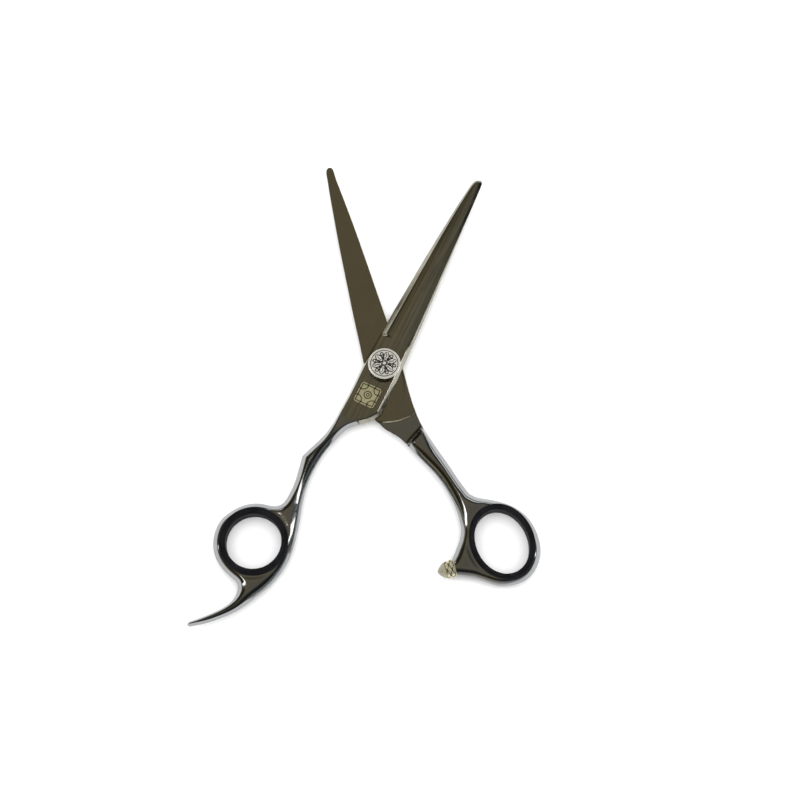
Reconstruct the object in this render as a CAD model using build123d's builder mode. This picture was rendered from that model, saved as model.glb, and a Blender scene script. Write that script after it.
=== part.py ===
from build123d import *
from math import hypot
import os

# Hair cutting shears lying flat, half open. Millimetres.
# The pivot axis is +Z, z = 0 is the table, and +Y bisects the two blades towards the tips.
# Each half is drawn in its own frame, whose Y axis runs along its blade. When the shears close,
# the two frames coincide. The finger half is the upper layer at the pivot, the thumb half the lower.

# ---------------------------------------------------------------- driving dimensions
opening_angle = 40.0
blade_gap = 0.06
ride_height = 3.0
blade_thickness = 2.37
handle_thickness = 5.6
ring_metal_thickness = 4.8
insert_thickness = 6.0
insert_flange = 0.6

finger_ring_centre = (-12.3, -73.4)
finger_bore_radius = 9.15
finger_seat_radius = 10.4
finger_flange_radius = 11.7
finger_ring_radius = 13.05

thumb_ring_centre = (22.2, -68.8)
thumb_ring_lean = 6.0
thumb_bore_radii = (8.65, 10.95)
thumb_seat_radii = (9.9, 12.2)
thumb_flange_radii = (11.2, 13.0)
thumb_ring_radii = (12.1, 14.5)

bolt_head_radius = 4.2
bolt_head_height = 0.6
bolt_shoulder_radius = 2.6
bolt_journal_radius = 2.1
bolt_thread_radius = 1.8
bolt_top = 7.3
key_width = 3.0
running_clearance = 0.03
shaft_room = 0.28

bush_radius = 3.2
bush_flange_radius = 4.4
bush_flange_sink = 0.35
thrust_washer_radius = 4.9
thrust_washer_thickness = 0.28
thrust_recess_radius = 5.0
thrust_recess_depth = 0.25
friction_washer_radius = 4.4
wave_spring_radii = (4.3, 2.9)

dial_radius = 5.5
dial_top = 8.0
click_ball_radius = 0.35
click_ball_track = 3.6
click_dimples = 12
click_dimple_radius = 0.3
click_dimple_depth = 0.30
click_groove_half_width = 0.42
click_groove_depth = 0.22
click_plate_radius = 4.4
ball_room = 0.01
click_roof = 0.05
click_spring_inset = 0.02
click_spring_wall = 0.15
nut_radius = 5.25
skirt_bore_radius = 4.55
skirt_gap = 0.38
cap_edge = 0.35

bumper_height = -73.0
bumper_seat_x = 5.0
bumper_collar_end_x = 1.6
bumper_nose_x = -0.74
bumper_radius = 3.0
bumper_collar_edge = 0.4
bumper_pad_inset = 0.3
bumper_pad_edge = 1.9
stud_radius = 0.9
stud_depth = 3.4
stud_hole_depth = 3.5
stud_reach = 0.8
flange_room = 0.1
past_the_part = 10

# ---------------------------------------------------------------- derived places
finger_frame = Plane.XY.rotated((0, 0, -opening_angle / 2))
thumb_frame = Plane.XY.rotated((0, 0, opening_angle / 2))
front_inner = ride_height + blade_gap / 2
rear_inner = ride_height - blade_gap / 2
front_face = front_inner + blade_thickness
rear_face = rear_inner - blade_thickness
handle_bottom = ride_height - handle_thickness / 2
handle_top = ride_height + handle_thickness / 2
ring_bottom = ride_height - ring_metal_thickness / 2
ring_top = ride_height + ring_metal_thickness / 2
insert_bottom = ride_height - insert_thickness / 2
insert_top = ride_height + insert_thickness / 2

# Pivot stack, from the front blade's face up to the dial.
bush_flange_top = front_face + 0.05
washer_bottom = bush_flange_top + running_clearance
washer_top = washer_bottom + 0.25
spring_top = washer_top + 0.40
plate_top = spring_top + 0.42
nut_bottom = plate_top + running_clearance
nut_top = nut_bottom + 0.87


def at(frame, x, y, z=0.0):
    """A horizontal plane of a half's frame, moved to (x, y, z) in that frame."""
    return Plane(frame.from_local_coords((x, y, z)), x_dir=frame.x_dir, z_dir=(0, 0, 1))


def across(frame, y):
    """The upright plane that cuts a half at y. Its own y axis is height."""
    return Plane(frame.from_local_coords((0, y, 0)), x_dir=frame.x_dir, z_dir=-frame.y_dir)


def finish(part, name):
    part.label = name
    export_step(part, f"parts/{name}.step")


os.makedirs("parts", exist_ok=True)

# ---------------------------------------------------------------- blades
# Each row is (distance from the pivot, cutting edge, spine, thickness).
front_rows = [
    (10.0, -6.5, 5.4, 2.25),
    (20.0, -6.1, 4.9, 2.15),
    (40.0, -5.0, 3.6, 1.85),
    (60.0, -3.7, 2.3, 1.45),
    (70.0, -2.7, 1.7, 1.20),
    (75.5, -1.8, 1.2, 1.00),
    (78.3, -0.7, 0.6, 0.80),
]
rear_rows = [
    (10.0, 5.4, -6.1, 2.25),
    (20.0, 4.85, -5.7, 2.15),
    (40.0, 3.65, -4.6, 1.85),
    (60.0, 2.2, -3.2, 1.45),
    (70.0, 1.2, -2.4, 1.20),
    (75.5, 1.0, -1.9, 1.00),
    (78.3, 0.6, -1.1, 0.80),
]


def blade_section(frame, row, inner, outward):
    """One cross-section: flat inner face, long convex bevel to the edge, short bevel at the spine."""
    y, edge, spine, thickness = row
    width = spine - edge
    heights = [(0.0, 0.0), (0.0, 0.10), (0.16, 0.55), (0.34, 0.85),
               (0.52, 1.0), (0.86, 0.94), (1.0, 0.60), (1.0, 0.0)]
    corners = [(edge + width * s, inner + outward * thickness * h) for s, h in heights]
    with BuildSketch(across(frame, y)) as section:
        with BuildLine():
            Polyline(*corners, close=True)
        make_face()
    return section.sketch


front_outline = [(-6.5, 10.2), (-6.9, 0), (-6.7, -12), (-6.87, -22), (1.25, -22), (3.4, -20.1), (5.3, -17.6),
                 (6.2, -16.2), (6.2, -10), (5.9, 0), (5.4, 10.2)]
rear_outline = [(-6.1, 10.2), (-6.3, 5), (-7.0, -8), (-7.6, -17.2), (-5.6, -20.4), (6.9, -20.4), (6.2, -16.5),
                (6.0, -15), (6.0, -2.5), (5.4, 10.2)]
weld_radius = 19.8
badge_centre = (-0.5, -11.95)
badge_size = (7.4, 7.6)
badge_depth = 0.15
badge_corner = 0.9
badge_proud = 0.1

with BuildPart() as finger_blade:
    with BuildSketch(at(finger_frame, 0, 0, front_inner)):
        Polygon(*front_outline, align=None)
    extrude(amount=blade_thickness)
    loft([blade_section(finger_frame, row, front_inner, 1) for row in front_rows], ruled=True)
    with BuildSketch(at(finger_frame, 0, 0, front_inner)):
        Circle(bush_radius)
    extrude(amount=blade_thickness, mode=Mode.SUBTRACT)
    with BuildSketch(at(finger_frame, 0, 0, front_face - bush_flange_sink)):
        Circle(bush_flange_radius)
    extrude(amount=1, mode=Mode.SUBTRACT)
    with BuildSketch(at(finger_frame, *badge_centre, front_face - badge_depth)):
        RectangleRounded(*badge_size, badge_corner)
    extrude(amount=1, mode=Mode.SUBTRACT)
finish(finger_blade.part, "finger_blade")

with BuildPart() as thumb_blade:
    with BuildSketch(at(thumb_frame, 0, 0, rear_face)):
        Polygon(*rear_outline, align=None)
    extrude(amount=blade_thickness)
    with BuildSketch(at(thumb_frame, 0, 0, rear_face)):
        Circle(weld_radius)
    extrude(amount=blade_thickness, mode=Mode.INTERSECT)
    loft([blade_section(thumb_frame, row, rear_inner, -1) for row in rear_rows], ruled=True)
    with BuildSketch(at(thumb_frame, 0, 0, rear_face)):
        Circle(bolt_shoulder_radius)
    extrude(amount=blade_thickness, mode=Mode.SUBTRACT)
    with BuildSketch(at(thumb_frame, 0, 0, rear_inner - thrust_recess_depth)):
        Circle(thrust_recess_radius)
    extrude(amount=1, mode=Mode.SUBTRACT)
finish(thumb_blade.part, "thumb_blade")

with BuildPart() as badge_plate:
    with BuildSketch(at(finger_frame, *badge_centre, front_face - badge_depth)):
        RectangleRounded(*badge_size, badge_corner)
    extrude(amount=badge_depth + badge_proud)
finish(badge_plate.part, "badge_plate")

# ---------------------------------------------------------------- handles
# Each row is (distance from the pivot, left side, right side) of the shank.
finger_rows = [
    (-22.0, -6.87, 1.25),
    (-25.0, -7.0, -1.65),
    (-30.0, -7.8, -3.5),
    (-35.0, -9.6, -4.9),
    (-40.0, -11.2, -5.4),
    (-45.0, -10.2, -5.5),
    (-50.0, -9.2, -4.9),
    (-55.0, -8.8, -3.5),
    (-60.5, -13.5, -1.5),
]
thumb_rows = [
    (-15.0, -7.6, 6.0),
    (-17.2, -7.6, 6.2),
    (-20.0, -6.0, 6.6),
    (-25.0, -1.5, 7.65),
    (-30.0, 1.2, 9.2),
    (-35.0, 3.6, 10.9),
    (-40.0, 6.5, 12.65),
    (-45.0, 8.6, 14.2),
    (-50.0, 10.0, 16.3),
    (-53.5, 10.5, 20.5),
    (-57.5, 10.8, 25.5),
]
finger_step = [(-12, -22.3), (-7.7, -25.3), (-3.0, -28.6), (6, -34.9), (12, -15), (-12, -15)]
thumb_step = [(12, -22.3), (7.7, -25.3), (3.0, -28.6), (-6, -34.9), (-12, -10), (12, -10)]
shank_ease = 0.9


def shank_section(frame, row, bottom, top):
    """A flat-sided cross-section with its four corners eased."""
    y, left, right = row
    side = shank_ease * 0.8
    corners = [(left, bottom + side), (left + shank_ease, bottom), (right - shank_ease, bottom),
               (right, bottom + side), (right, top - side), (right - shank_ease, top),
               (left + shank_ease, top), (left, top - side)]
    with BuildSketch(across(frame, y)) as section:
        with BuildLine():
            Polyline(*corners, close=True)
        make_face()
    return section.sketch


# The tang curls from the bottom of the finger ring, out and away from the hand.
tang_rows = [
    ((-5.4, -84.0), 4.6, 5.0),
    ((-6.1, -89.0), 3.4, 5.0),
    ((-7.3, -93.3), 2.35, 4.8),
    ((-9.6, -97.4), 2.1, 4.4),
    ((-13.6, -101.6), 1.8, 3.8),
    ((-17.0, -104.7), 1.35, 2.8),
    ((-19.2, -106.1), 0.8, 1.8),
]


def tang_section(frame, index):
    """A cross-section square to the tang's centreline."""
    centre, half_width, height = tang_rows[index]
    before = tang_rows[max(index - 1, 0)][0]
    after = tang_rows[min(index + 1, len(tang_rows) - 1)][0]
    dx, dy = after[0] - before[0], after[1] - before[1]
    run = hypot(dx, dy)
    direction = frame.x_dir * (dx / run) + frame.y_dir * (dy / run)
    origin = frame.from_local_coords((*centre, ride_height))
    sideways = direction.cross(Vector(0, 0, 1))
    with BuildSketch(Plane(origin, x_dir=sideways, z_dir=direction)) as section:
        Ellipse(half_width, height / 2)
    return section.sketch


# The webs that carry the shank and the tang into the finger ring.
finger_web = [(-13.5, -60.5), (-1.5, -60.0), (-0.7, -65), (0.4, -70), (0.75, -75), (0.1, -80), (-1.0, -85),
              (-5.0, -86.5), (-14, -86.6), (-12, -73)]

with BuildPart() as finger_handle:
    loft([shank_section(finger_frame, row, handle_bottom, handle_top) for row in finger_rows], ruled=True)
    with BuildSketch(at(finger_frame, 0, 0, front_face)):
        Polygon((-12, -20), (6, -20), (6, -24), (-12, -24), align=None)
    extrude(amount=2, mode=Mode.SUBTRACT)
    with BuildSketch(at(finger_frame, 0, 0, front_inner)):
        Polygon(*finger_step, align=None)
    extrude(amount=-6, mode=Mode.SUBTRACT)
    loft([tang_section(finger_frame, i) for i in range(len(tang_rows))])
    with BuildSketch(at(finger_frame, 0, 0, ring_bottom)):
        Polygon(*finger_web, align=None)
    extrude(amount=ring_metal_thickness)
    with BuildSketch(at(finger_frame, *finger_ring_centre, ring_bottom)):
        Circle(finger_ring_radius)
    extrude(amount=ring_metal_thickness)
    with BuildSketch(at(finger_frame, *finger_ring_centre)):
        Circle(finger_seat_radius)
    extrude(amount=2 * handle_thickness, mode=Mode.SUBTRACT)
    with BuildSketch(at(finger_frame, *finger_ring_centre, ring_top)):
        Circle(finger_flange_radius + flange_room)
    extrude(amount=2, mode=Mode.SUBTRACT)
    with BuildSketch(at(finger_frame, *finger_ring_centre, ring_bottom)):
        Circle(finger_flange_radius + flange_room)
    extrude(amount=-2, mode=Mode.SUBTRACT)
finish(finger_handle.part, "finger_handle")

boss_outline = [(11, -58), (10.3, -62), (8.0, -65.5), (bumper_seat_x, -69.8), (bumper_seat_x, -76.2),
                (8, -77), (12, -79), (17, -81), (17, -60)]
thumb_ring_frame = at(thumb_frame, *thumb_ring_centre).rotated((0, 0, thumb_ring_lean))

with BuildPart() as thumb_handle:
    loft([shank_section(thumb_frame, row, handle_bottom, handle_top) for row in thumb_rows], ruled=True)
    with BuildSketch(at(thumb_frame, 0, 0, rear_face)):
        Polygon((-12, -14), (12, -14), (12, -23), (-12, -23), align=None)
    extrude(amount=-2, mode=Mode.SUBTRACT)
    with BuildSketch(at(thumb_frame, 0, 0, rear_inner - 0.12)):
        Polygon(*thumb_step, align=None)
    extrude(amount=6, mode=Mode.SUBTRACT)
    with BuildSketch(at(thumb_frame, 0, 0)):
        Circle(weld_radius)
    extrude(amount=8, mode=Mode.SUBTRACT)
    with BuildSketch(at(thumb_frame, 0, 0, handle_bottom)):
        Polygon(*boss_outline, align=None)
    extrude(amount=handle_thickness)
    with BuildSketch(thumb_ring_frame.offset(ring_bottom)):
        Ellipse(*thumb_ring_radii)
    extrude(amount=ring_metal_thickness)
    with BuildSketch(thumb_ring_frame):
        Ellipse(*thumb_seat_radii)
    extrude(amount=2 * handle_thickness, mode=Mode.SUBTRACT)
    with BuildSketch(thumb_ring_frame.offset(ring_top)):
        Ellipse(thumb_flange_radii[0] + flange_room, thumb_flange_radii[1] + flange_room)
    extrude(amount=2, mode=Mode.SUBTRACT)
    with BuildSketch(thumb_ring_frame.offset(ring_bottom)):
        Ellipse(thumb_flange_radii[0] + flange_room, thumb_flange_radii[1] + flange_room)
    extrude(amount=-2, mode=Mode.SUBTRACT)
    with BuildSketch(Plane(thumb_frame.from_local_coords((bumper_seat_x, bumper_height, ride_height)),
                           x_dir=thumb_frame.y_dir, z_dir=thumb_frame.x_dir)):
        Circle(stud_radius)
    extrude(amount=stud_hole_depth, mode=Mode.SUBTRACT)
finish(thumb_handle.part, "thumb_handle")

# ---------------------------------------------------------------- ring inserts
insert_height = insert_top - insert_bottom

with BuildPart() as finger_ring_insert:
    with BuildSketch(at(finger_frame, *finger_ring_centre, insert_bottom)):
        Circle(finger_seat_radius)
    extrude(amount=insert_height)
    with BuildSketch(at(finger_frame, *finger_ring_centre, insert_bottom)):
        Circle(finger_flange_radius)
    extrude(amount=insert_flange)
    with BuildSketch(at(finger_frame, *finger_ring_centre, insert_top)):
        Circle(finger_flange_radius)
    extrude(amount=-insert_flange)
    with BuildSketch(at(finger_frame, *finger_ring_centre, insert_bottom)):
        Circle(finger_bore_radius)
    extrude(amount=insert_height, mode=Mode.SUBTRACT)
finish(finger_ring_insert.part, "finger_ring_insert")

with BuildPart() as thumb_ring_insert:
    with BuildSketch(thumb_ring_frame.offset(insert_bottom)):
        Ellipse(*thumb_seat_radii)
    extrude(amount=insert_height)
    with BuildSketch(thumb_ring_frame.offset(insert_bottom)):
        Ellipse(*thumb_flange_radii)
    extrude(amount=insert_flange)
    with BuildSketch(thumb_ring_frame.offset(insert_top)):
        Ellipse(*thumb_flange_radii)
    extrude(amount=-insert_flange)
    with BuildSketch(thumb_ring_frame.offset(insert_bottom)):
        Ellipse(*thumb_bore_radii)
    extrude(amount=insert_height, mode=Mode.SUBTRACT)
finish(thumb_ring_insert.part, "thumb_ring_insert")

# ---------------------------------------------------------------- bumper
bumper_plane = Plane(thumb_frame.from_local_coords((bumper_seat_x, bumper_height, ride_height)),
                     x_dir=thumb_frame.y_dir, z_dir=-thumb_frame.x_dir)
collar_length = bumper_seat_x - bumper_collar_end_x
nose_length = bumper_collar_end_x - bumper_nose_x

with BuildPart() as bumper_stud:
    with BuildSketch(bumper_plane.offset(-stud_depth)):
        Circle(stud_radius)
    extrude(amount=stud_depth + collar_length + stud_reach)
finish(bumper_stud.part, "bumper_stud")

with BuildPart() as bumper_collar:
    with BuildSketch(bumper_plane):
        Circle(bumper_radius)
    extrude(amount=collar_length)
    fillet(bumper_collar.edges().filter_by(GeomType.CIRCLE), bumper_collar_edge)
    with BuildSketch(bumper_plane):
        Circle(stud_radius)
    extrude(amount=collar_length, mode=Mode.SUBTRACT)
finish(bumper_collar.part, "bumper_collar")

with BuildPart() as bumper_pad:
    with BuildSketch(bumper_plane.offset(collar_length)):
        Circle(bumper_radius - bumper_pad_inset)
    extrude(amount=nose_length)
    nose_face = bumper_pad.faces().sort_by(Axis(bumper_plane.origin, bumper_plane.z_dir))[-1]
    fillet(nose_face.edges(), bumper_pad_edge)
    with BuildSketch(bumper_plane.offset(collar_length)):
        Circle(stud_radius)
    extrude(amount=stud_reach, mode=Mode.SUBTRACT)
finish(bumper_pad.part, "bumper_pad")

# ---------------------------------------------------------------- pivot
with BuildPart() as pivot_bolt:
    with BuildSketch(thumb_frame):
        Circle(bolt_head_radius)
    extrude(amount=bolt_head_height)
    chamfer(pivot_bolt.faces().sort_by(Axis.Z)[0].edges(), 0.25)
    with BuildSketch(thumb_frame.offset(bolt_head_height)):
        Circle(bolt_shoulder_radius)
    extrude(amount=rear_inner - thrust_recess_depth - bolt_head_height)
    with BuildSketch(thumb_frame.offset(bolt_head_height)):
        Circle(bolt_journal_radius)
    extrude(amount=washer_bottom - bolt_head_height)
    with BuildSketch(thumb_frame.offset(washer_bottom)):
        Circle(bolt_thread_radius)
        Rectangle(key_width, past_the_part, mode=Mode.INTERSECT)
    extrude(amount=bolt_top - washer_bottom)
finish(pivot_bolt.part, "pivot_bolt")

with BuildPart() as thrust_washer:
    with BuildSketch(thumb_frame.offset(rear_inner - thrust_recess_depth)):
        Circle(thrust_washer_radius)
        Circle(bolt_journal_radius, mode=Mode.SUBTRACT)
    extrude(amount=thrust_washer_thickness)
finish(thrust_washer.part, "thrust_washer")

with BuildPart() as pivot_bush:
    with BuildSketch(finger_frame.offset(front_inner)):
        Circle(bush_radius)
    extrude(amount=blade_thickness)
    with BuildSketch(finger_frame.offset(front_face - bush_flange_sink)):
        Circle(bush_flange_radius)
    extrude(amount=bush_flange_top - front_face + bush_flange_sink)
    with BuildSketch(finger_frame):
        Circle(bolt_journal_radius + running_clearance)
    extrude(amount=past_the_part, mode=Mode.SUBTRACT)
finish(pivot_bush.part, "pivot_bush")

with BuildPart() as friction_washer:
    with BuildSketch(thumb_frame.offset(washer_bottom)):
        Circle(friction_washer_radius)
        with BuildSketch(thumb_frame, mode=Mode.SUBTRACT):
            Circle(bolt_thread_radius)
            Rectangle(key_width, past_the_part, mode=Mode.INTERSECT)
    extrude(amount=washer_top - washer_bottom)
finish(friction_washer.part, "friction_washer")

with BuildPart() as wave_spring:
    with BuildSketch(thumb_frame.offset(washer_top)):
        Circle(wave_spring_radii[0])
        Circle(wave_spring_radii[1], mode=Mode.SUBTRACT)
    extrude(amount=spring_top - washer_top)
finish(wave_spring.part, "wave_spring")

# ---------------------------------------------------------------- tension dial
with BuildPart() as click_plate:
    with BuildSketch(thumb_frame.offset(spring_top)):
        Circle(click_plate_radius)
        with BuildSketch(thumb_frame, mode=Mode.SUBTRACT):
            Circle(bolt_thread_radius + running_clearance)
            Rectangle(key_width + 2 * running_clearance, past_the_part, mode=Mode.INTERSECT)
    extrude(amount=plate_top - spring_top)
    with BuildSketch(thumb_frame.offset(plate_top - click_groove_depth)):
        Circle(click_ball_track + click_groove_half_width)
        Circle(click_ball_track - click_groove_half_width, mode=Mode.SUBTRACT)
    extrude(amount=1, mode=Mode.SUBTRACT)
    with BuildSketch(thumb_frame.offset(plate_top - click_dimple_depth)):
        with PolarLocations(click_ball_track, click_dimples):
            Circle(click_dimple_radius)
    extrude(amount=1, mode=Mode.SUBTRACT)
finish(click_plate.part, "click_plate")

ball_centre = plate_top - click_groove_depth + click_ball_radius + running_clearance

with BuildPart() as dial_nut:
    with BuildSketch(thumb_frame.offset(nut_bottom)):
        Circle(nut_radius)
    extrude(amount=nut_top - nut_bottom)
    with BuildSketch(thumb_frame.offset(nut_top)):
        Circle(nut_radius)
        Circle(skirt_bore_radius, mode=Mode.SUBTRACT)
    extrude(amount=front_face + skirt_gap - nut_top)
    with BuildSketch(thumb_frame.offset(nut_bottom)):
        Circle(bolt_thread_radius + running_clearance)
    extrude(amount=bolt_top + shaft_room - nut_bottom, mode=Mode.SUBTRACT)
    with BuildSketch(thumb_frame.offset(nut_bottom)):
        with PolarLocations(click_ball_track, 2):
            Circle(click_ball_radius + ball_room)
    extrude(amount=nut_top - nut_bottom - click_roof, mode=Mode.SUBTRACT)
finish(dial_nut.part, "dial_nut")

with BuildPart() as click_balls:
    with Locations(thumb_frame.offset(ball_centre)):
        with PolarLocations(click_ball_track, 2):
            Sphere(click_ball_radius)
finish(click_balls.part, "click_balls")

with BuildPart() as click_springs:
    with BuildSketch(thumb_frame.offset(ball_centre + click_ball_radius)):
        with PolarLocations(click_ball_track, 2):
            Circle(click_ball_radius - click_spring_inset)
            Circle(click_ball_radius - click_spring_wall, mode=Mode.SUBTRACT)
    extrude(amount=nut_top - click_roof - ball_centre - click_ball_radius)
finish(click_springs.part, "click_springs")

with BuildPart() as dial_cap:
    with BuildSketch(thumb_frame.offset(nut_top)):
        Circle(dial_radius)
    extrude(amount=dial_top - nut_top)
    fillet(dial_cap.edges().filter_by(GeomType.CIRCLE).sort_by(Axis.Z)[-1], cap_edge)
    with BuildSketch(thumb_frame.offset(nut_top)):
        Circle(bolt_thread_radius + running_clearance)
    extrude(amount=bolt_top + shaft_room - nut_top, mode=Mode.SUBTRACT)
finish(dial_cap.part, "dial_cap")
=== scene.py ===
"""Hair cutting shears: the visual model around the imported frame.

Lengths in the classes are millimetres in each half's own frame, whose Y axis runs from the pivot to
the blade's tip and whose X axis points to the thumb side. Half.place turns them into the row frame.
"""
import logging
import math
from collections.abc import Callable, Sequence
from dataclasses import dataclass
from enum import Enum
from typing import Any

import bmesh
import bpy
import numpy as np
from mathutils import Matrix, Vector


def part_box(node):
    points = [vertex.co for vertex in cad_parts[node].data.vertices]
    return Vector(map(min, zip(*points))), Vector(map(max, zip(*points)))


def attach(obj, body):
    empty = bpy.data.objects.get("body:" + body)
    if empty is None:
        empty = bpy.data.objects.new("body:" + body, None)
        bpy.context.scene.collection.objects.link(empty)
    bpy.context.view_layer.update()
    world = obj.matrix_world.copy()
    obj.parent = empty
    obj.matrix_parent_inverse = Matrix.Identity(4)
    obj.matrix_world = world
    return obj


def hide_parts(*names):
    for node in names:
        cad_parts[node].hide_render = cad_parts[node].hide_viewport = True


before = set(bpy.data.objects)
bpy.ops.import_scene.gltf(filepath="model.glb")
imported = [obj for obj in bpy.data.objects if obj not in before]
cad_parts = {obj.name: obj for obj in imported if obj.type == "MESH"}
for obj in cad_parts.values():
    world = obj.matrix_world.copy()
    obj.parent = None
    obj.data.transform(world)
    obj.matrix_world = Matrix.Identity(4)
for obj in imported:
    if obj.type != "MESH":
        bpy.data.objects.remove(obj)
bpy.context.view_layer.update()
LOG = logging.getLogger("shears")

MM = 0.001
HALF_OPENING = 20.0
MID_PLANE = 3.0
FRONT_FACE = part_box("finger_blade")[1].z / MM
FRONT_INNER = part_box("finger_blade")[0].z / MM
REAR_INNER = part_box("thumb_blade")[1].z / MM
DIAL_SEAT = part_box("dial_cap")[0].z / MM
DIAL_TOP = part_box("dial_cap")[1].z / MM
INSERT_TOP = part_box("finger_ring_insert")[1].z / MM

FINGER_RING = (-12.3, -73.4)
THUMB_RING = (22.2, -68.8)
THUMB_RING_LEAN = 6.0
WELD_RADIUS = 19.8

Points = np.ndarray
Pair = tuple[float, float]


def spun(x: Points, y: Points, degrees: float) -> tuple[Points, Points]:
    """Plan coordinates turned anticlockwise about the origin.

    Args:
        x: the first coordinates.
        y: the second coordinates.
        degrees: the turn.

    Returns:
        The turned x and y.
    """
    c, s = math.cos(math.radians(degrees)), math.sin(math.radians(degrees))
    return x * c - y * s, x * s + y * c


class Half(Enum):
    """The two halves of the shears: the body each rides on, and its turn from the row frame."""

    FINGER = ("finger_half", -HALF_OPENING)
    THUMB = ("thumb_half", HALF_OPENING)

    @property
    def body(self) -> str:
        """The CAD body that this half is."""
        return self.value[0]

    def place(self, points: Points) -> Points:
        """Turns points about the pivot and into metres.

        Args:
            points: an array whose last axis is x, y, z in the half's own frame, in millimetres.

        Returns:
            The same points in the row frame, in metres.
        """
        x, y, z = np.moveaxis(np.asarray(points, float), -1, 0)
        return np.stack([*spun(x, y, self.value[1]), z], axis=-1) * MM


# ---- curves
def spline(knots: Sequence[Pair], count: int) -> Points:
    """A natural cubic through the knots, with chord length as its parameter.

    Args:
        knots: the points to pass through.
        count: how many points to return.

    Returns:
        count points, evenly spaced in the parameter.
    """
    p = np.asarray(knots, float)
    t = np.concatenate([[0.0], np.cumsum(np.linalg.norm(np.diff(p, axis=0), axis=1))])
    n = len(p)
    h = np.diff(t)
    matrix = np.eye(n)
    rows = np.arange(1, n - 1)
    matrix[rows, rows - 1] = h[:-1]
    matrix[rows, rows] = 2 * (h[:-1] + h[1:])
    matrix[rows, rows + 1] = h[1:]
    slopes = np.diff(p, axis=0) / h[:, None]
    right = np.zeros_like(p)
    right[1:-1] = 6 * np.diff(slopes, axis=0)
    bend = np.linalg.solve(matrix, right)
    u = np.linspace(0, t[-1], count)
    i = np.clip(np.searchsorted(t, u, side="right") - 1, 0, n - 2)
    a, b, w = (t[i + 1] - u)[:, None], (u - t[i])[:, None], h[i][:, None]
    cubic = (bend[i] * a**3 + bend[i + 1] * b**3) / (6 * w)
    return cubic + (p[i] / w - bend[i] * w / 6) * a + (p[i + 1] / w - bend[i + 1] * w / 6) * b


def x_on(line: Points, y: Points) -> Points:
    """The x of a line, which runs down or up, at each y."""
    order = np.argsort(line[:, 1])
    return np.interp(y, line[order, 1], line[order, 0])


def distance(points: Points, line: Points) -> Points:
    """The distance of each point to the nearest place on a polyline: to each segment's nearest point.

    Args:
        points: an array whose last axis is x, y.
        line: the polyline's points.

    Returns:
        An array of the points' shape without its last axis.
    """
    flat = points.reshape(-1, 2)
    start, step = line[:-1], np.diff(line, axis=0)
    square = (step**2).sum(1) + 1e-12
    nearest = []
    for block in np.array_split(flat, max(1, len(flat) // 3000)):
        away = block[:, None, :] - start
        along = np.clip((away * step).sum(2) / square, 0, 1)
        nearest.append(np.sqrt(((away - along[..., None] * step) ** 2).sum(2).min(1)))
    return np.concatenate(nearest).reshape(points.shape[:-1])


def soft_min(a: Points, b: Points, k: float) -> Points:
    """The lower of two heights, its crease rounded over about k: the lower branch of a hyperbola."""
    return 0.5 * (a + b - np.sqrt((a - b) ** 2 + k * k))


def step(x: Points, low: float, high: float) -> Points:
    """0 below low, 1 above high, and 3t^2 - 2t^3 between them."""
    t = np.clip((x - low) / (high - low), 0, 1)
    return t * t * (3 - 2 * t)


def bent_to_arc(plan: Points, radius: float, start: float, fade: float) -> Points:
    """Moves straight rows to an arc about the pivot: y less the arc's sag.

    Args:
        plan: the plan points.
        radius: the arc's radius.
        start: the y of the row that takes the arc in full.
        fade: the y from which rows stay straight.

    Returns:
        The moved points.
    """
    x, y = plan[..., 0], plan[..., 1]
    share = np.clip((y - fade) / (start - fade), 0, 1)
    sag = np.sqrt(radius**2 - np.clip(x, -8, 8) ** 2) + start
    return np.stack([x, y - np.maximum(sag, 0) * share], axis=-1)


def line_of(x: Points, centre: Points | float, width: float) -> Points:
    """A bell of height 1 around a centre: exp(-((x - centre) / width)^2)."""
    return np.exp(-(((x - centre) / width) ** 2))


def crowded(count: int) -> Points:
    """Places from 0 to 1 that crowd towards both ends: half of one less the cosine."""
    return 0.5 - 0.5 * np.cos(np.linspace(0, math.pi, count))


# ---- meshes
@dataclass
class Sheet:
    """A grid of points, rows by columns by x, y, z, which becomes a sheet of quads."""

    points: Points
    wrap_rows: bool = False
    wrap_columns: bool = False
    shade: Points | None = None

    def faces(self, offset: int) -> Points:
        """The quads, each joining two rows and two columns.

        Args:
            offset: the number of the sheet's first point.

        Returns:
            Four point numbers for each quad.
        """
        rows, columns = self.points.shape[:2]
        r = np.arange(rows if self.wrap_rows else rows - 1)[:, None]
        c = np.arange(columns if self.wrap_columns else columns - 1)[None, :]
        r2, c2 = (r + 1) % rows, (c + 1) % columns
        corners = (r * columns + c, r2 * columns + c, r2 * columns + c2, r * columns + c2)
        return np.stack([q.ravel() for q in np.broadcast_arrays(*corners)], axis=1) + offset


def stacked(plan: Points, heights: Points) -> Points:
    """Plan points with their heights as a third coordinate."""
    return np.concatenate([plan, np.broadcast_to(heights, plan.shape[:-1])[..., None]], axis=2)


def slab(plan: Points, top: Points, bottom: Points, ends: Sequence[int] = (),
         wrap: bool = False) -> list[Sheet]:
    """An upper and a lower sheet over one plan, with walls where the rows named in ends stop.

    Args:
        plan: rows by columns by x, y.
        top: the upper heights.
        bottom: the lower heights.
        ends: indices of rows that get a wall between the two sheets.
        wrap: whether the columns close into a ring.

    Returns:
        The sheets.
    """
    upper, lower = stacked(plan, top), stacked(plan, np.minimum(bottom, top))
    walls = [Sheet(np.stack([upper[i], lower[i]]), wrap_columns=wrap) for i in ends]
    sides = [] if wrap else [Sheet(np.stack([upper[:, i], lower[:, i]])) for i in (0, -1)]
    return [Sheet(upper, wrap_columns=wrap), Sheet(lower, wrap_columns=wrap), *walls, *sides]


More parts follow.
